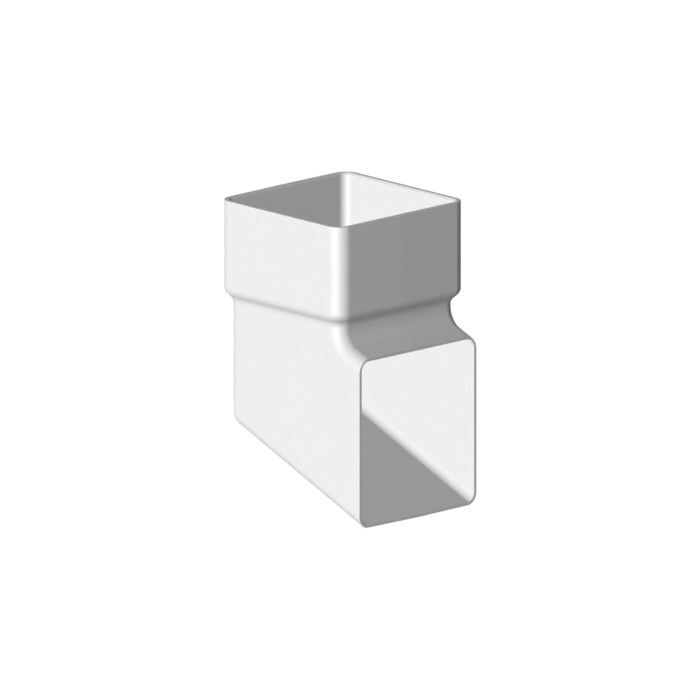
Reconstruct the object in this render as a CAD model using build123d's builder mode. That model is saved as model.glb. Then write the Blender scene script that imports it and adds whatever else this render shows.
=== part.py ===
from build123d import *
from math import cos, radians, sqrt, tan
import os

# Downpipe shoe: the foot of a square rainwater downpipe. The pipe stands in the socket on a ledge, the
# pipe stop, and below it the body turns forward into a sloping spout that throws the water clear.
# X is sideways, -Y is the way the water leaves, +Z is up the pipe. The origin is on the pipe's centre
# line at the pipe stop.

# Square pipe that the shoe carries, with the gap left for it on each side of the socket
pipe_size = 65.0
pipe_clearance = 0.6

# Socket: from the pipe stop up to the rim
socket_depth = 38.5
socket_wall = 2.5
lead_in = 0.67

# Shoulder: where the socket's wall steps in to the body's
shoulder_angle = 45.0
shoulder_radius = 4.6

# Body and spout, whose outside is the pipe's own size
body_wall = 1.4
neck_length = 0.85
throat_radius = 7.0
heel_radius = 7.0
fall_angle = 22.5
overhang = 11.54

# Long corners: the inside ones all round, and the body's outside ones, which are fuller in front, down
# to the throat and along the roof, than at the back, round the heel and along the floor
bore_corner_radius = 3.6
front_corner_radius = 5.5
back_corner_radius = 4.6

# Moulding: the draft of the two mould halves, and what the open edges lose
draft_angle = 0.57
edge_break = 0.1

tolerance = 0.001

# Half widths of the four square sections
body_half = pipe_size / 2
body_bore_half = body_half - body_wall
socket_bore_half = body_half + pipe_clearance
socket_half = socket_bore_half + socket_wall

# The socket's outside corners run round its inside ones, one wall further out
socket_corner_radius = bore_corner_radius + socket_wall

# The shoulder's slope stays one body wall away from the pipe stop's outer corner
shoulder_slope = tan(radians(shoulder_angle))
shoulder_height = (socket_half - body_half) * shoulder_slope
wall_above_slope = body_wall / cos(radians(shoulder_angle))
shoulder_top = (socket_half - socket_bore_half) * shoulder_slope - wall_above_slope
shoulder_bottom = shoulder_top - shoulder_height
shoulder_slant = shoulder_height * sqrt(1 + 1 / shoulder_slope**2)
shoulder_curve = min(shoulder_radius, 0.48 * shoulder_slant / tan(radians(shoulder_angle / 2)))
shoulder_end = shoulder_bottom - shoulder_curve * tan(radians(shoulder_angle / 2))


def mould_rise(half_size):
    """How far a drafted face stands out from its mean size at the parting plane."""
    return half_size * tan(radians(draft_angle)) / 2


# The throat starts below the neck, and the spout's roof and floor lie one body size apart
fall_slope = tan(radians(fall_angle))
body_front = body_half + mould_rise(body_half)
bore_front = body_front - body_wall
across_fall = body_front / cos(radians(fall_angle))
throat_corner = shoulder_end - neck_length - throat_radius * tan(radians((90 - fall_angle) / 2))
roof_at_axis = throat_corner + body_front * fall_slope
bend_height = roof_at_axis - across_fall
outlet = body_front + overhang
rim = socket_depth

# The side view is drawn looking along +X, with the spout to the right
side_plane = Plane(origin=(0, 0, 0), x_dir=(0, -1, 0), z_dir=(-1, 0, 0))


def half_square(height, half_size, front_radius, back_radius):
    """Level section of the left mould half: its front and back fall away from the parting plane."""
    rise = mould_rise(half_size)
    with BuildSketch(Plane.XY.offset(height)) as section:
        with BuildLine():
            Polyline(
                (0, half_size + rise),
                (-half_size, half_size - rise),
                (-half_size, rise - half_size),
                (0, -half_size - rise),
                close=True,
            )
        make_face()
        fillet(section.vertices().sort_by_distance((-half_size, -half_size))[0], front_radius)
        fillet(section.vertices().sort_by_distance((-half_size, half_size))[0], back_radius)
    return section.sketch


def bent_channel(half_size, top, end, inner_bend, outer_bend):
    """Side view of a channel that drops from its top, turns at the bend and slopes to its end."""
    to_wall = half_size / cos(radians(fall_angle))
    roof = bend_height + to_wall
    floor = bend_height - to_wall
    throat = (half_size, roof - half_size * fall_slope)
    heel = (-half_size, floor + half_size * fall_slope)
    with BuildSketch(side_plane) as view:
        with BuildLine():
            Polyline(
                (-half_size, top),
                heel,
                (end, floor - end * fall_slope),
                (end, roof - end * fall_slope),
                throat,
                (half_size, top),
                close=True,
            )
        make_face()
        fillet(view.vertices().sort_by_distance(throat)[0], inner_bend)
        fillet(view.vertices().sort_by_distance(heel)[0], outer_bend)
    return view.sketch


def is_front(edge):
    """Whether an edge of the side's outline belongs to the front, the throat or the roof."""
    middle = edge.center()
    return middle.Y < 0 and middle.Z > bend_height + middle.Y * fall_slope


def side_outline(part):
    """The edges round the left half's flat side, but for those of the two open ends."""
    open_ends = [part.faces().sort_by(Axis.Z)[-1], part.faces().sort_by(Axis.Y)[0]]
    end_edges = [edge for face in open_ends for edge in face.edges()]
    side = part.faces().sort_by(Axis.X)[0]
    return ShapeList([edge for edge in side.edges() if edge not in end_edges])


def loop_at(part, height):
    """The edges of the left half's outside that lie level at a height."""
    level = part.edges().filter_by(Plane.XY).filter_by_position(Axis.Z, height - tolerance, height + tolerance)
    return level.filter_by_position(Axis.X, -socket_half - tolerance, -tolerance)


# The outside is one mould half, mirrored
with BuildPart() as mould_half:
    # Body and spout, drafted away from the parting plane
    extrude(bent_channel(body_front, shoulder_bottom, outlet, throat_radius, heel_radius), amount=body_half)
    walls = mould_half.faces().filter_by(lambda face: abs(face.normal_at().X) < 0.5)
    top_end = walls.sort_by(Axis.Z)[-1]
    outlet_end = walls.sort_by(Axis.Y)[0]
    draft([face for face in walls if face not in (top_end, outlet_end)], Plane.YZ, -draft_angle)

    # The side's whole outline is rounded, but for the two open ends
    fillet(side_outline(mould_half.part).filter_by(is_front), front_corner_radius)
    fillet(side_outline(mould_half.part).filter_by(is_front, reverse=True), back_corner_radius)

    # Socket, and the shoulder between it and the body
    socket_foot = half_square(shoulder_top, socket_half, socket_corner_radius, socket_corner_radius)
    body_head = half_square(shoulder_bottom, body_half, front_corner_radius, back_corner_radius)
    extrude(socket_foot, amount=rim - shoulder_top)
    loft([body_head, socket_foot], ruled=True)
    fillet(loop_at(mould_half.part, shoulder_top), shoulder_curve)
    fillet(loop_at(mould_half.part, shoulder_bottom), shoulder_curve)

    # The outside edges of the rim and the outlet are just taken off
    fillet(loop_at(mould_half.part, rim), edge_break)
    mouth = mould_half.faces().sort_by(Axis.Y)[0].edges()
    fillet(mouth.filter_by_position(Axis.X, -body_half - tolerance, -tolerance), edge_break)

# The bore of the body and spout runs from the pipe stop out through the outlet
with BuildPart() as bore:
    bore_view = bent_channel(bore_front, 0, outlet + overhang, throat_radius + body_wall, heel_radius - body_wall)
    extrude(bore_view, amount=body_bore_half, both=True)
    bore_sides = bore.faces().sort_by(Axis.X)
    fillet([*bore_sides[0].edges(), *bore_sides[-1].edges()], bore_corner_radius)

with BuildPart() as downpipe_shoe:
    add(mould_half.part)
    mirror(about=Plane.YZ)
    add(bore.part, mode=Mode.SUBTRACT)

    # The socket's bore stands on the pipe stop and opens out a little at the rim
    with BuildSketch(Plane.XY):
        RectangleRounded(2 * socket_bore_half, 2 * socket_bore_half, bore_corner_radius)
    extrude(amount=rim, mode=Mode.SUBTRACT)
    rim_face = downpipe_shoe.faces().sort_by(Axis.Z)[-1]
    chamfer(rim_face.inner_wires()[0].edges(), lead_in)
    outlet_face = downpipe_shoe.faces().sort_by(Axis.Y)[0]
    fillet(outlet_face.inner_wires()[0].edges(), edge_break)

os.makedirs("parts", exist_ok=True)
downpipe_shoe.part.label = "downpipe_shoe"
export_step(downpipe_shoe.part, "parts/downpipe_shoe.step")
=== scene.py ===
"""A white plastic downpipe shoe for a square rainwater pipe, in plain soft studio light.

The shoe is one moulding. Its skin is a closed run of rounded square loops, each hung between a front rail
and a back rail, and one node tree wraps the loops into a mesh. X is sideways, -Y is the way the water
leaves and +Z is up the pipe. Sizes are in millimetres until a mesh is made.
"""

import logging
import math
from dataclasses import dataclass, replace
from enum import Enum
from typing import Any

import bpy
from mathutils import Matrix, Vector

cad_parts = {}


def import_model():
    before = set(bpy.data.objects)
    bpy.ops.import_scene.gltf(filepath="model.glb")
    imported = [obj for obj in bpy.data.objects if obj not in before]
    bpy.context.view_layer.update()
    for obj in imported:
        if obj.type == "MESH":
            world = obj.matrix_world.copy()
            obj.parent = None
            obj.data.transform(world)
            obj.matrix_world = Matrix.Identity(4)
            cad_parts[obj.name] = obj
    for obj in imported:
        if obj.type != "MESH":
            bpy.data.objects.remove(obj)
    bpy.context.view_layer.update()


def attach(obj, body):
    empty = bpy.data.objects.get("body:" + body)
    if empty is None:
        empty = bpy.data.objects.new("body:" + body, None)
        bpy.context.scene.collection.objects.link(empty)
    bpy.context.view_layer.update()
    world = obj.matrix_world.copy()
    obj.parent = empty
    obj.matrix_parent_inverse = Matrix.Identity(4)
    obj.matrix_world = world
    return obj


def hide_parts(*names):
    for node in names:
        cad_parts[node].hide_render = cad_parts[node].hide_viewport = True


MM = 0.001
CAD_NODE = "downpipe_shoe"
BODY = "root"

log = logging.getLogger("downpipe_shoe")

Point = tuple[float, float]
Corners = tuple[float, float]


def linear(hex_colour: str) -> tuple[float, float, float, float]:
    """Turn an sRGB colour into the linear one that the shaders take.

    Args:
        hex_colour: The colour as six hexadecimal digits, such as "efeff0".

    Returns:
        Linear red, green, blue and an alpha of 1.
    """
    levels = [int(hex_colour[i : i + 2], 16) / 255 for i in (0, 2, 4)]
    red, green, blue = [v / 12.92 if v <= 0.04045 else ((v + 0.055) / 1.055) ** 2.4 for v in levels]
    return red, green, blue, 1.0


def add_node(
    tree: bpy.types.NodeTree, kind: str, inputs: dict[int | str, Any] | None = None, **settings: Any
) -> bpy.types.Node:
    """Add a node with its settings, values and links.

    Args:
        tree: The tree that the node goes into.
        kind: The node's type name.
        inputs: What each input gets, by name or number: a value, or the output socket to link from.
        **settings: The node's own properties.

    Returns:
        The new node.
    """
    made = tree.nodes.new(kind)
    for name, value in settings.items():
        setattr(made, name, value)
    for key, value in (inputs or {}).items():
        if isinstance(value, bpy.types.NodeSocket):
            tree.links.new(value, made.inputs[key])
        else:
            made.inputs[key].default_value = value
    return made


def mix(start: float, end: float, share: float) -> float:
    """Give the value that lies a share of the way from start to end."""
    return start + (end - start) * share


def upright(point: Point) -> Vector:
    """Turn a (forward, up) pair of the side view into the shoe's own X, Y and Z."""
    return Vector((0.0, -point[0], point[1]))


class Skin(Enum):
    """Which skin of the moulding a loop belongs to, and how much of the draft it takes."""

    OUTSIDE = 1.0
    BORE = 0.0


@dataclass(frozen=True)
class Station:
    """One loop of the skin, in mm. Points and directions are (forward, up) in the side view."""

    front: Point
    front_in: Point
    back: Point
    back_in: Point
    half: float
    front_radius: float
    back_radius: float
    skin: Skin

    @classmethod
    def level(cls, height: float, half: float, reach: float, corners: Corners, skin: Skin) -> "Station":
        """Give a loop that lies level round the pipe's centre line.

        Args:
            height: Its height above the pipe stop.
            half: Its half width.
            reach: How far it reaches forward, and back, in the middle.
            corners: Radius of its front corners, then of its back ones.
            skin: The skin that it is part of.

        Returns:
            The loop.
        """
        return cls((reach, height), (-1, 0), (-reach, height), (1, 0), half, *corners, skin)

    def inset(self, by: float) -> "Station":
        """Give the same loop drawn in all round.

        Args:
            by: How far it is drawn in. A negative value lets it out.

        Returns:
            The smaller loop, in the same plane.
        """
        return replace(
            self,
            front=(self.front[0] + by * self.front_in[0], self.front[1] + by * self.front_in[1]),
            back=(self.back[0] + by * self.back_in[0], self.back[1] + by * self.back_in[1]),
            half=self.half - by,
            front_radius=self.front_radius - by,
            back_radius=self.back_radius - by,
        )


@dataclass(frozen=True)
class Moulding:
    """What the whole moulding shares: its draft, its open edges and how finely its curves are stepped."""

    draft: float = math.radians(0.57)
    edge_break: float = 0.1
    corner_steps: int = 16
    shoulder_steps: int = 12
    bend_steps: int = 28
    crease: float = math.radians(21)
    weld: float = 0.01

    def reach(self, half: float) -> float:
        """Give how far a drafted face of that mean half size reaches at the parting line."""
        return half * (1 + math.tan(self.draft) / 2)


@dataclass(frozen=True)
class Channel:
    """The body and spout, one skin of them: down from the top, round the bend and out to the outlet."""

    half: float
    reach: float
    throat_radius: float
    heel_radius: float
    front_radius: float
    back_radius: float
    skin: Skin
    bend_height: float
    outlet: float
    fall: float

    def loops(self, moulding: Moulding) -> list[Station]:
        """Give the loops from where the bend starts to where the open edge's rounding starts.

        Args:
            moulding: The shared sizes.

        Returns:
            The bend's loops, then the one beside the outlet and the one in the outlet's plane.
        """
        turn = math.pi / 2 - self.fall
        slope = math.tan(self.fall)
        to_wall = self.reach / math.cos(self.fall)
        run = math.tan(turn / 2)
        roof, floor = self.bend_height + to_wall, self.bend_height - to_wall
        throat = (self.reach + self.throat_radius, roof - self.reach * slope + self.throat_radius * run)
        heel = (self.heel_radius - self.reach, floor + self.reach * slope + self.heel_radius * run)
        found = []
        for step in range(moulding.bend_steps + 1):
            angle = turn * step / moulding.bend_steps
            out = (-math.cos(angle), -math.sin(angle))
            found.append(
                Station(
                    front=(throat[0] + self.throat_radius * out[0], throat[1] + self.throat_radius * out[1]),
                    front_in=out,
                    back=(heel[0] + self.heel_radius * out[0], heel[1] + self.heel_radius * out[1]),
                    back_in=(-out[0], -out[1]),
                    half=self.half,
                    front_radius=self.front_radius,
                    back_radius=self.back_radius,
                    skin=self.skin,
                )
            )

        # At the outlet the wall is cut upright, so its thickness reaches further there
        cut = 1 / math.cos(self.fall)
        for forward in (self.outlet - moulding.edge_break, self.outlet):
            found.append(
                replace(
                    found[-1],
                    front=(forward, roof - forward * slope),
                    front_in=(0, -cut),
                    back=(forward, floor - forward * slope),
                    back_in=(0, cut),
                )
            )
        return found


@dataclass(frozen=True)
class Shoe:
    """The downpipe shoe, from the rim of its socket to its outlet."""

    pipe_half: float = 32.5
    pipe_stop: float = 0.0
    socket_depth: float = 38.5
    socket_half: float = 35.6
    socket_bore_half: float = 33.1
    lead_in: float = 0.67
    shoulder_radius: float = 4.6
    shoulder_angle: float = math.radians(45)
    shoulder_top: float = 0.52
    wall: float = 1.4
    neck: float = 0.85
    throat_radius: float = 7.0
    heel_radius: float = 7.0
    fall: float = math.radians(22.5)
    overhang: float = 11.54
    bore_corner: float = 3.6
    socket_corner: float = 6.1
    front_corner: float = 5.5
    back_corner: float = 4.6
    moulding: Moulding = Moulding()

    @property
    def shoulder_step(self) -> float:
        """How far the shoulder steps in from the socket to the body."""
        return self.socket_half - self.pipe_half

    @property
    def shoulder_end(self) -> float:
        """Height at which the shoulder has run out into the body."""
        drop = self.shoulder_step * math.tan(self.shoulder_angle)
        return self.shoulder_top - drop - self.shoulder_radius * math.tan(self.shoulder_angle / 2)

    def channel(self, skin: Skin) -> Channel:
        """Give one skin of the body and spout.

        Args:
            skin: The outside, or the bore one wall further in.

        Returns:
            The channel.
        """
        reach = self.moulding.reach(self.pipe_half)
        throat_run = self.throat_radius * math.tan((math.pi / 2 - self.fall) / 2)
        roof_at_axis = self.shoulder_end - self.neck - throat_run + reach * math.tan(self.fall)
        outside = Channel(
            half=self.pipe_half,
            reach=reach,
            throat_radius=self.throat_radius,
            heel_radius=self.heel_radius,
            front_radius=self.front_corner,
            back_radius=self.back_corner,
            skin=Skin.OUTSIDE,
            bend_height=roof_at_axis - reach / math.cos(self.fall),
            outlet=reach + self.overhang,
            fall=self.fall,
        )
        if skin is Skin.OUTSIDE:
            return outside
        return replace(
            outside,
            half=outside.half - self.wall,
            reach=outside.reach - self.wall,
            throat_radius=self.throat_radius + self.wall,
            heel_radius=self.heel_radius - self.wall,
            front_radius=self.bore_corner,
            back_radius=self.bore_corner,
            skin=Skin.BORE,
        )

    def stepped_loop(self, step_in: float, height: float) -> Station:
        """Give a loop of the outside between the socket and the body.

        Args:
            step_in: How far the wall has stepped in from the socket's outside.
            height: The loop's height.

        Returns:
            The loop, with its corners between the socket's and the body's.
        """
        share = step_in / self.shoulder_step
        reach = mix(self.moulding.reach(self.socket_half), self.moulding.reach(self.pipe_half), share)
        corners = (
            mix(self.socket_corner, self.front_corner, share),
            mix(self.socket_corner, self.back_corner, share),
        )
        return Station.level(height, self.socket_half - step_in, reach, corners, Skin.OUTSIDE)

    def shoulder_loops(self) -> list[Station]:
        """Give the shoulder's loops.

        Returns:
            The rounding at its top, then the hollow at its foot.
        """
        radius, angle = self.shoulder_radius, self.shoulder_angle
        top = self.shoulder_top + radius * math.tan(angle / 2)
        steps = self.moulding.shoulder_steps
        turns = [angle * step / steps for step in range(steps + 1)]
        foot, end = self.shoulder_step, self.shoulder_end
        rounding = [self.stepped_loop(radius * (1 - math.cos(t)), top - radius * math.sin(t)) for t in turns]
        hollow = [
            self.stepped_loop(foot - radius * (1 - math.cos(t)), end + radius * math.sin(t))
            for t in reversed(turns)
        ]
        return [*rounding, *hollow]

    def loops(self) -> list[Station]:
        """Give every loop of the closed skin.

        Returns:
            The loops from the rim down the outside, then back up the bore to the lead-in.
        """
        edge, half, top = self.moulding.edge_break, self.socket_bore_half, self.socket_depth
        corners = (self.bore_corner, self.bore_corner)
        outside = self.channel(Skin.OUTSIDE).loops(self.moulding)
        bore = self.channel(Skin.BORE)
        spout = bore.loops(self.moulding)
        mouth = Station.level(top, half, half, corners, Skin.BORE)
        return [
            self.stepped_loop(0, top).inset(edge),
            self.stepped_loop(0, top - edge),
            *self.shoulder_loops(),
            *outside[:-1],
            outside[-1].inset(edge),
            spout[-1].inset(-edge),
            *reversed(spout[:-1]),
            Station.level(self.pipe_stop, bore.half, bore.reach, corners, Skin.BORE),
            Station.level(self.pipe_stop, half, half, corners, Skin.BORE),
            Station.level(top - self.lead_in, half, half, corners, Skin.BORE),
            mouth.inset(-self.lead_in),
        ]

    def rails(self, loops: list[Station]) -> bpy.types.Object:
        """Make the helper mesh that carries the loops, one vertex for each.

        Args:
            loops: The loops, in order round the closed skin.

        Returns:
            A mesh object of loose vertices with the loops' sizes as attributes, in metres.
        """
        mesh = bpy.data.meshes.new("shoe_rails")
        mesh.from_pydata([(0, 0, 0)] * len(loops), [], [])
        vectors = {
            "front": [upright(loop.front) * MM for loop in loops],
            "front_in": [upright(loop.front_in) for loop in loops],
            "back": [upright(loop.back) * MM for loop in loops],
            "back_in": [upright(loop.back_in) for loop in loops],
            "sizes": [Vector((loop.half, loop.front_radius, loop.back_radius)) * MM for loop in loops],
        }
        for name, values in vectors.items():
            attribute = mesh.attributes.new(name, "FLOAT_VECTOR", "POINT")
            attribute.data.foreach_set("vector", [number for value in values for number in value])
        drafted = mesh.attributes.new("drafted", "FLOAT", "POINT")
        drafted.data.foreach_set("value", [loop.skin.value for loop in loops])
        return bpy.data.objects.new("shoe_rails", mesh)

    def section(self) -> bpy.types.Object:
        """Make the helper mesh that carries one loop's round, one vertex for each of its points.

        Returns:
            A mesh object of loose vertices with a "side" (-1 left, 0 middle, 1 right) and a "turn": the
            sine of the corner's turn, one less its cosine, and 1 at the back.
        """
        steps = self.moulding.corner_steps
        turns = [math.pi / 2 * step / steps for step in range(steps + 1)]
        front_right = [(1.0, math.sin(t), 1 - math.cos(t), 0.0) for t in turns]
        back_right = [(1.0, math.sin(t), 1 - math.cos(t), 1.0) for t in reversed(turns)]
        back_left = [(-1.0, *point[1:]) for point in reversed(back_right)]
        front_left = [(-1.0, *point[1:]) for point in reversed(front_right)]
        middle_front, middle_back = (0.0, 0.0, 0.0, 0.0), (0.0, 0.0, 0.0, 1.0)
        points = [middle_front, *front_right, *back_right, middle_back, *back_left, *front_left]
        mesh = bpy.data.meshes.new("shoe_section")
        mesh.from_pydata([(0, 0, 0)] * len(points), [], [])
        side = mesh.attributes.new("side", "FLOAT", "POINT")
        side.data.foreach_set("value", [point[0] for point in points])
        turn = mesh.attributes.new("turn", "FLOAT_VECTOR", "POINT")
        turn.data.foreach_set("vector", [number for point in points for number in point[1:]])
        return bpy.data.objects.new("shoe_section", mesh)

    def build(self, material: bpy.types.Material) -> bpy.types.Object:
        """Wrap the loops into the moulding's mesh and dress it.

        Args:
            material: The plastic.

        Returns:
            The moulding as a plain mesh object at the origin, which stands for the CAD node.
        """
        rails, section = self.rails(self.loops()), self.section()
        shell = bpy.data.objects.new("shoe_moulding", bpy.data.meshes.new("shoe_moulding"))
        for helper in (rails, section, shell):
            bpy.context.scene.collection.objects.link(helper)
        tree = wrap_tree()
        wrap = shell.modifiers.new("wrap", "NODES")
        wrap.node_group = tree
        values = {
            "Rails": rails,
            "Section": section,
            "Loops": len(rails.data.vertices),
            "Loop Points": len(section.data.vertices),
            "Draft": self.moulding.draft,
            "Weld": self.moulding.weld * MM,
            "Crease": self.moulding.crease,
            "Plastic": material,
        }
        for item in tree.interface.items_tree:
            if item.name in values:
                wrap[item.identifier] = values[item.name]
        flats = shell.modifiers.new("flat faces stay flat", "WEIGHTED_NORMAL")
        flats.keep_sharp = True
        evaluated = shell.evaluated_get(bpy.context.evaluated_depsgraph_get())
        mesh = bpy.data.meshes.new_from_object(evaluated)
        shell.modifiers.clear()
        shell.data = mesh
        for helper in (rails, section):
            bpy.data.objects.remove(helper)
        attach(shell, BODY)
        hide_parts(CAD_NODE)

        # Its faces don't light or mirror each other, so the inside is as even as the photograph shows it
        shell.visible_diffuse = False
        shell.visible_glossy = False
        return shell


def wrap_tree() -> bpy.types.NodeTree:
    """Build the node tree that wraps a rounded, drafted section round a closed run of loops.

    A flat grid of loops by loop points is moved point by point: each point takes its loop's sizes from the
    rails and its own turn from the section. The grid's two seams are welded, so the skin closes on itself.

    Returns:
        The tree. Its sizes are inputs, by name.
    """
    tree = bpy.data.node_groups.new("moulding_wrap", "GeometryNodeTree")
    for name, kind in (
        ("Geometry", "NodeSocketGeometry"),
        ("Rails", "NodeSocketObject"),
        ("Section", "NodeSocketObject"),
        ("Loops", "NodeSocketInt"),
        ("Loop Points", "NodeSocketInt"),
        ("Draft", "NodeSocketFloat"),
        ("Weld", "NodeSocketFloat"),
        ("Crease", "NodeSocketFloat"),
        ("Plastic", "NodeSocketMaterial"),
    ):
        tree.interface.new_socket(name=name, in_out="INPUT", socket_type=kind)
    tree.interface.new_socket(name="Geometry", in_out="OUTPUT", socket_type="NodeSocketGeometry")
    given = add_node(tree, "NodeGroupInput").outputs

    # A grid with one row more than there are loops and one column more than a loop has points
    rows = add_node(tree, "FunctionNodeIntegerMath", {0: given["Loops"], 1: 1}, operation="ADD")
    columns = add_node(tree, "FunctionNodeIntegerMath", {0: given["Loop Points"], 1: 1}, operation="ADD")
    grid = add_node(
        tree, "GeometryNodeMeshGrid", {"Vertices X": rows.outputs[0], "Vertices Y": columns.outputs[0]}
    )

    # Which loop, and which point of it, each point of the grid stands for
    index = add_node(tree, "GeometryNodeInputIndex")
    row = add_node(
        tree, "FunctionNodeIntegerMath", {0: index.outputs[0], 1: columns.outputs[0]}, operation="DIVIDE_FLOOR"
    )
    column = add_node(
        tree, "FunctionNodeIntegerMath", {0: index.outputs[0], 1: columns.outputs[0]}, operation="MODULO"
    )
    loop = add_node(tree, "FunctionNodeIntegerMath", {0: row.outputs[0], 1: given["Loops"]}, operation="MODULO")
    point = add_node(
        tree, "FunctionNodeIntegerMath", {0: column.outputs[0], 1: given["Loop Points"]}, operation="MODULO"
    )

    # What the two helpers say there
    rails = add_node(tree, "GeometryNodeObjectInfo", {"Object": given["Rails"]})
    section = add_node(tree, "GeometryNodeObjectInfo", {"Object": given["Section"]})
    read = {}
    for name, kind, source, place in (
        ("front", "FLOAT_VECTOR", rails, loop),
        ("front_in", "FLOAT_VECTOR", rails, loop),
        ("back", "FLOAT_VECTOR", rails, loop),
        ("back_in", "FLOAT_VECTOR", rails, loop),
        ("sizes", "FLOAT_VECTOR", rails, loop),
        ("drafted", "FLOAT", rails, loop),
        ("side", "FLOAT", section, point),
        ("turn", "FLOAT_VECTOR", section, point),
    ):
        value = add_node(tree, "GeometryNodeInputNamedAttribute", {"Name": name}, data_type=kind)
        found = add_node(tree, "GeometryNodeSampleIndex", data_type=kind)
        tree.links.new(source.outputs["Geometry"], found.inputs["Geometry"])
        tree.links.new(value.outputs["Attribute"], found.inputs["Value"])
        tree.links.new(place.outputs[0], found.inputs["Index"])
        read[name] = found.outputs["Value"]
    half, front_radius, back_radius = add_node(tree, "ShaderNodeSeparateXYZ", {0: read["sizes"]}).outputs
    sine, turned_in, at_back = add_node(tree, "ShaderNodeSeparateXYZ", {0: read["turn"]}).outputs
    radius = add_node(
        tree, "ShaderNodeMix", {0: at_back, 2: front_radius, 3: back_radius}, data_type="FLOAT"
    )

    # Across: the half width, less what the corner's turn takes off
    left_over = add_node(tree, "ShaderNodeMath", {0: 1.0, 1: sine}, operation="SUBTRACT")
    taken_off = add_node(
        tree, "ShaderNodeMath", {0: radius.outputs[0], 1: left_over.outputs[0]}, operation="MULTIPLY"
    )
    to_side = add_node(tree, "ShaderNodeMath", {0: half, 1: taken_off.outputs[0]}, operation="SUBTRACT")
    across = add_node(tree, "ShaderNodeMath", {0: read["side"], 1: to_side.outputs[0]}, operation="MULTIPLY")

    # Inwards: the corner's turn, and the draft, which grows with the way from the parting line
    cornered = add_node(tree, "ShaderNodeMath", {0: radius.outputs[0], 1: turned_in}, operation="MULTIPLY")
    slant = add_node(tree, "ShaderNodeMath", {0: given["Draft"]}, operation="TANGENT")
    slanted = add_node(tree, "ShaderNodeMath", {0: slant.outputs[0], 1: read["drafted"]}, operation="MULTIPLY")
    from_line = add_node(tree, "ShaderNodeMath", {0: across.outputs[0]}, operation="ABSOLUTE")
    drawn_in = add_node(
        tree,
        "ShaderNodeMath",
        {0: from_line.outputs[0], 1: slanted.outputs[0], 2: cornered.outputs[0]},
        operation="MULTIPLY_ADD",
    )

    # The point hangs from its rail, moved inwards and sideways
    rail = add_node(
        tree, "ShaderNodeMix", {0: at_back, 4: read["front"], 5: read["back"]}, data_type="VECTOR"
    )
    inwards = add_node(
        tree, "ShaderNodeMix", {0: at_back, 4: read["front_in"], 5: read["back_in"]}, data_type="VECTOR"
    )
    moved_in = add_node(
        tree,
        "ShaderNodeVectorMath",
        {0: inwards.outputs[1], 1: drawn_in.outputs[0], 2: rail.outputs[1]},
        operation="MULTIPLY_ADD",
    )
    sideways = add_node(tree, "ShaderNodeCombineXYZ", {"X": across.outputs[0]})
    place = add_node(
        tree, "ShaderNodeVectorMath", {0: moved_in.outputs[0], 1: sideways.outputs[0]}, operation="ADD"
    )
    placed = add_node(
        tree, "GeometryNodeSetPosition", {"Geometry": grid.outputs["Mesh"], "Position": place.outputs[0]}
    )
    welded = add_node(
        tree, "GeometryNodeMergeByDistance", {"Geometry": placed.outputs[0], "Distance": given["Weld"]}
    )

    # Real edges and the parting line stay crisp, and everything else is smooth
    angle = add_node(tree, "GeometryNodeInputMeshEdgeAngle")
    steep = add_node(tree, "FunctionNodeCompare", {0: angle.outputs[0], 1: given["Crease"]})
    position = add_node(tree, "GeometryNodeInputPosition")
    axes = add_node(tree, "ShaderNodeSeparateXYZ", {0: position.outputs[0]})
    aside = add_node(tree, "ShaderNodeMath", {0: axes.outputs[0]}, operation="ABSOLUTE")
    parting = add_node(
        tree, "FunctionNodeCompare", {0: aside.outputs[0], 1: given["Weld"]}, operation="LESS_THAN"
    )
    crisp = add_node(
        tree, "FunctionNodeBooleanMath", {0: steep.outputs[0], 1: parting.outputs[0]}, operation="OR"
    )
    smooth = add_node(
        tree, "GeometryNodeSetShadeSmooth", {"Geometry": welded.outputs[0], "Shade Smooth": True}, domain="FACE"
    )
    edged = add_node(
        tree,
        "GeometryNodeSetShadeSmooth",
        {"Geometry": smooth.outputs[0], "Selection": crisp.outputs[0], "Shade Smooth": False},
        domain="EDGE",
    )
    plain = add_node(tree, "GeometryNodeRealizeInstances", {"Geometry": edged.outputs[0]})
    dressed = add_node(
        tree, "GeometryNodeSetMaterial", {"Geometry": plain.outputs[0], "Material": given["Plastic"]}
    )
    add_node(tree, "NodeGroupOutput", {0: dressed.outputs[0]})
    return tree


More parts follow.
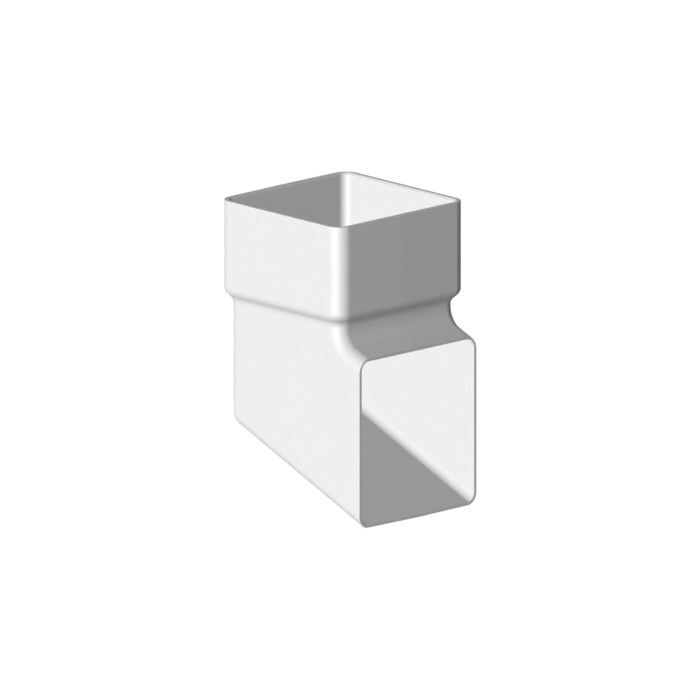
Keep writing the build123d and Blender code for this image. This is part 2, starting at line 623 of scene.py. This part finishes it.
@dataclass(frozen=True)
class MouldedUpvc:
    """White uPVC, injection moulded: opaque, filled with white pigment, with the soft sheen of a fine mould."""

    name: str = "upvc_white_injection_moulded"
    colour: str = "efeff0"
    cooler: str = "eeeef0"
    cloud_mm: float = 28.0
    cloud_detail: float = 2.0
    grain_mm: float = 1.1
    grain_detail: float = 3.0
    grain_depth_mm: float = 0.0025
    grain_range: tuple[float, float] = (0.3, 0.7)
    roughness: float = 0.5
    roughness_swing: float = 0.03
    ior: float = 1.53

    def build(self) -> bpy.types.Material:
        """Make the material.

        Returns:
            The material, patterned on Object coordinates.
        """
        material = bpy.data.materials.new(self.name)
        material.use_nodes = True
        tree = material.node_tree
        tree.nodes.clear()
        where = add_node(tree, "ShaderNodeTexCoord").outputs["Object"]

        # The melt doesn't mix its white quite evenly, which is only just seen from face to face
        cloud = add_node(
            tree,
            "ShaderNodeTexNoise",
            {"Vector": where, "Scale": 1 / (self.cloud_mm * MM), "Detail": self.cloud_detail},
        )
        tint = add_node(
            tree,
            "ShaderNodeMix",
            {0: cloud.outputs["Fac"], 6: linear(self.colour), 7: linear(self.cooler)},
            data_type="RGBA",
        )

        # The mould's fine grain is about 0.05 mm, too fine to show, so it is drawn coarse and very shallow
        grain = add_node(
            tree,
            "ShaderNodeTexNoise",
            {"Vector": where, "Scale": 1 / (self.grain_mm * MM), "Detail": self.grain_detail},
        )
        bump = add_node(
            tree, "ShaderNodeBump", {"Distance": self.grain_depth_mm * MM, "Height": grain.outputs["Fac"]}
        )
        gloss = add_node(
            tree,
            "ShaderNodeMapRange",
            {
                "Value": grain.outputs["Fac"],
                "From Min": self.grain_range[0],
                "From Max": self.grain_range[1],
                "To Min": self.roughness - self.roughness_swing,
                "To Max": self.roughness + self.roughness_swing,
            },
        )
        shader = add_node(
            tree,
            "ShaderNodeBsdfPrincipled",
            {
                "Base Color": tint.outputs[2],
                "Roughness": gloss.outputs[0],
                "IOR": self.ior,
                "Normal": bump.outputs["Normal"],
            },
        )
        add_node(tree, "ShaderNodeOutputMaterial", {"Surface": shader.outputs[0]})
        return material


@dataclass(frozen=True)
class Lamp:
    """A softbox so far from the shoe that it lights every point of it from the same direction."""

    name: str
    towards: tuple[float, float, float]
    strength: float
    spread_degrees: float
    sheen_only: bool = False

    def build(self) -> bpy.types.Object:
        """Make the lamp. It casts no shadow, so the light inside the shoe is as even as outside.

        Returns:
            The lamp, turned to shine from its softbox.
        """
        light = bpy.data.lights.new(self.name, "SUN")
        light.energy = self.strength
        light.angle = math.radians(self.spread_degrees)
        light.use_shadow = False
        lamp = bpy.data.objects.new(self.name, light)
        lamp.rotation_mode = "QUATERNION"
        lamp.rotation_quaternion = Vector(self.towards).to_track_quat("Z", "Y")
        lamp.visible_diffuse = not self.sheen_only
        bpy.context.scene.collection.objects.link(lamp)
        return lamp


@dataclass(frozen=True)
class Studio:
    """The pale floor, the soft light and the camera, which looks in parallel lines as the photograph does."""

    # Where the photograph looks from, and the middle of its frame, measured from the middle of the rim
    azimuth: float = math.radians(-43.397)
    elevation: float = math.radians(13.735)
    view_width: float = 282.1
    rim_height: float = 38.5
    aim_right: float = 2.974
    aim_down: float = 60.63
    distance: float = 900.0
    view_depth: float = 100_000.0

    floor_height: float = -260.0
    floor_size: float = 8000.0

    # Two softboxes light the left side and the corner beside it, the third only shines back off that corner,
    # and the fourth lights the back and the right side
    lamps: tuple[Lamp, ...] = (
        Lamp("high_softbox", (-0.91, -0.31, 0.27), 1.71, 15),
        Lamp("low_softbox", (-0.982, -0.187, 0.043), 1.465, 23),
        Lamp("sheen_softbox", (-0.89, -0.39, -0.22), 2.3, 34, sheen_only=True),
        Lamp("back_softbox", (0.66, 0.72, -0.2), 2.4, 20),
    )

    # The air's light from the horizon, and how much it gains straight up
    ambient_level: float = 0.026
    ambient_rise: float = 0.03

    # The paper under its own lamp, and what lifts it to white where it is the background
    floor_colour: str = "f4f4f4"
    floor_light: float = 1.3
    floor_light_spread_degrees: float = 40
    floor_glow: float = 0.46

    def camera(self) -> bpy.types.Object:
        """Make the camera and make it the scene's.

        Returns:
            The camera, set so that its view takes in what the photograph's does.
        """
        right = Vector((math.cos(self.azimuth), math.sin(self.azimuth), 0))
        level = math.cos(self.elevation)
        back = Vector(
            (math.sin(self.azimuth) * level, -math.cos(self.azimuth) * level, math.sin(self.elevation))
        )
        up = back.cross(right)
        aim = Vector((0, 0, self.rim_height)) + self.aim_right * right - self.aim_down * up
        data = bpy.data.cameras.new("studio_camera")
        data.type = "ORTHO"
        data.ortho_scale = self.view_width * MM
        data.clip_end = self.view_depth * MM
        camera = bpy.data.objects.new("studio_camera", data)
        turned = Matrix((right, up, back)).transposed().to_4x4()
        camera.matrix_world = Matrix.Translation((aim + self.distance * back) * MM) @ turned
        bpy.context.scene.collection.objects.link(camera)
        bpy.context.scene.camera = camera
        return camera

    def sees_background(self, tree: bpy.types.NodeTree) -> bpy.types.NodeSocket:
        """Give 1 for the rays that show the white background: the camera's, and those off or through a gloss.

        Args:
            tree: The world's or the floor's tree.

        Returns:
            The output that says so.
        """
        rays = add_node(tree, "ShaderNodeLightPath").outputs
        seen = rays["Is Camera Ray"]
        for kind in ("Is Glossy Ray", "Is Transmission Ray"):
            seen = add_node(tree, "ShaderNodeMath", {0: seen, 1: rays[kind]}, operation="MAXIMUM").outputs[0]
        return seen

    def world(self) -> None:
        """Light the shoe evenly from all round, more from above, before a white background."""
        world = bpy.data.worlds.new("studio_air")
        world.use_nodes = True
        world.cycles.sampling_method = "NONE"
        tree = world.node_tree
        tree.nodes.clear()
        where = add_node(tree, "ShaderNodeTexCoord")
        height = add_node(tree, "ShaderNodeSeparateXYZ", {0: where.outputs["Generated"]})
        level = add_node(
            tree,
            "ShaderNodeMath",
            {0: height.outputs["Z"], 1: self.ambient_rise, 2: self.ambient_level},
            operation="MULTIPLY_ADD",
        )
        level = add_node(tree, "ShaderNodeMath", {0: level.outputs[0], 1: 0.0}, operation="MAXIMUM")
        air = add_node(tree, "ShaderNodeBackground", {"Color": (1, 1, 1, 1), "Strength": level.outputs[0]})
        white = add_node(tree, "ShaderNodeBackground", {"Color": (1, 1, 1, 1), "Strength": 1.0})
        both = add_node(
            tree, "ShaderNodeMixShader", {0: self.sees_background(tree), 1: air.outputs[0], 2: white.outputs[0]}
        )
        add_node(tree, "ShaderNodeOutputWorld", {"Surface": both.outputs[0]})
        bpy.context.scene.world = world

    def floor(self) -> bpy.types.Object:
        """Lay the pale floor well below the shoe, which hangs on its pipe, under a lamp of its own.

        Returns:
            The floor.
        """
        half, height = self.floor_size / 2 * MM, self.floor_height * MM
        corners = [(x, y, height) for x, y in ((-half, -half), (half, -half), (half, half), (-half, half))]
        mesh = bpy.data.meshes.new("studio_floor")
        mesh.from_pydata(corners, [], [(0, 1, 2, 3)])
        mesh.materials.append(self.paper())
        floor = bpy.data.objects.new("studio_floor", mesh)
        bpy.context.scene.collection.objects.link(floor)
        floor.visible_diffuse = False

        light = bpy.data.lights.new("floor_softbox", "SUN")
        light.energy = self.floor_light
        light.angle = math.radians(self.floor_light_spread_degrees)
        lamp = bpy.data.objects.new("floor_softbox", light)
        bpy.context.scene.collection.objects.link(lamp)
        lit = bpy.data.collections.new("lit_by_floor_softbox")
        lit.objects.link(floor)
        lamp.light_linking.receiver_collection = lit
        return floor

    def paper(self) -> bpy.types.Material:
        """Make the floor's matt white paper, lifted to white for the rays that show the background.

        Returns:
            The floor's material.
        """
        material = bpy.data.materials.new("matt_white_paper")
        material.use_nodes = True
        tree = material.node_tree
        tree.nodes.clear()
        sheet = add_node(tree, "ShaderNodeBsdfDiffuse", {"Color": linear(self.floor_colour)})
        unlit = add_node(tree, "ShaderNodeEmission", {"Strength": 0.0})
        glow = add_node(tree, "ShaderNodeEmission", {"Strength": self.floor_glow})
        lifted = add_node(
            tree,
            "ShaderNodeMixShader",
            {0: self.sees_background(tree), 1: unlit.outputs[0], 2: glow.outputs[0]},
        )
        both = add_node(tree, "ShaderNodeAddShader", {0: sheet.outputs[0], 1: lifted.outputs[0]})
        add_node(tree, "ShaderNodeOutputMaterial", {"Surface": both.outputs[0]})
        return material

    def build(self) -> None:
        """Set up the whole studio."""
        self.camera()
        self.world()
        self.floor()
        for lamp in self.lamps:
            lamp.build()
        bpy.context.scene.view_settings.view_transform = "Standard"


def main() -> None:
    """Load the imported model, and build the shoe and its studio."""
    logging.basicConfig(level=logging.INFO, format="%(name)s: %(message)s")
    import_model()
    Studio().build()
    shoe = Shoe().build(MouldedUpvc().build())
    log.info("%s: %d faces", shoe.name, len(shoe.data.polygons))


if __name__ == "__main__":
    main()
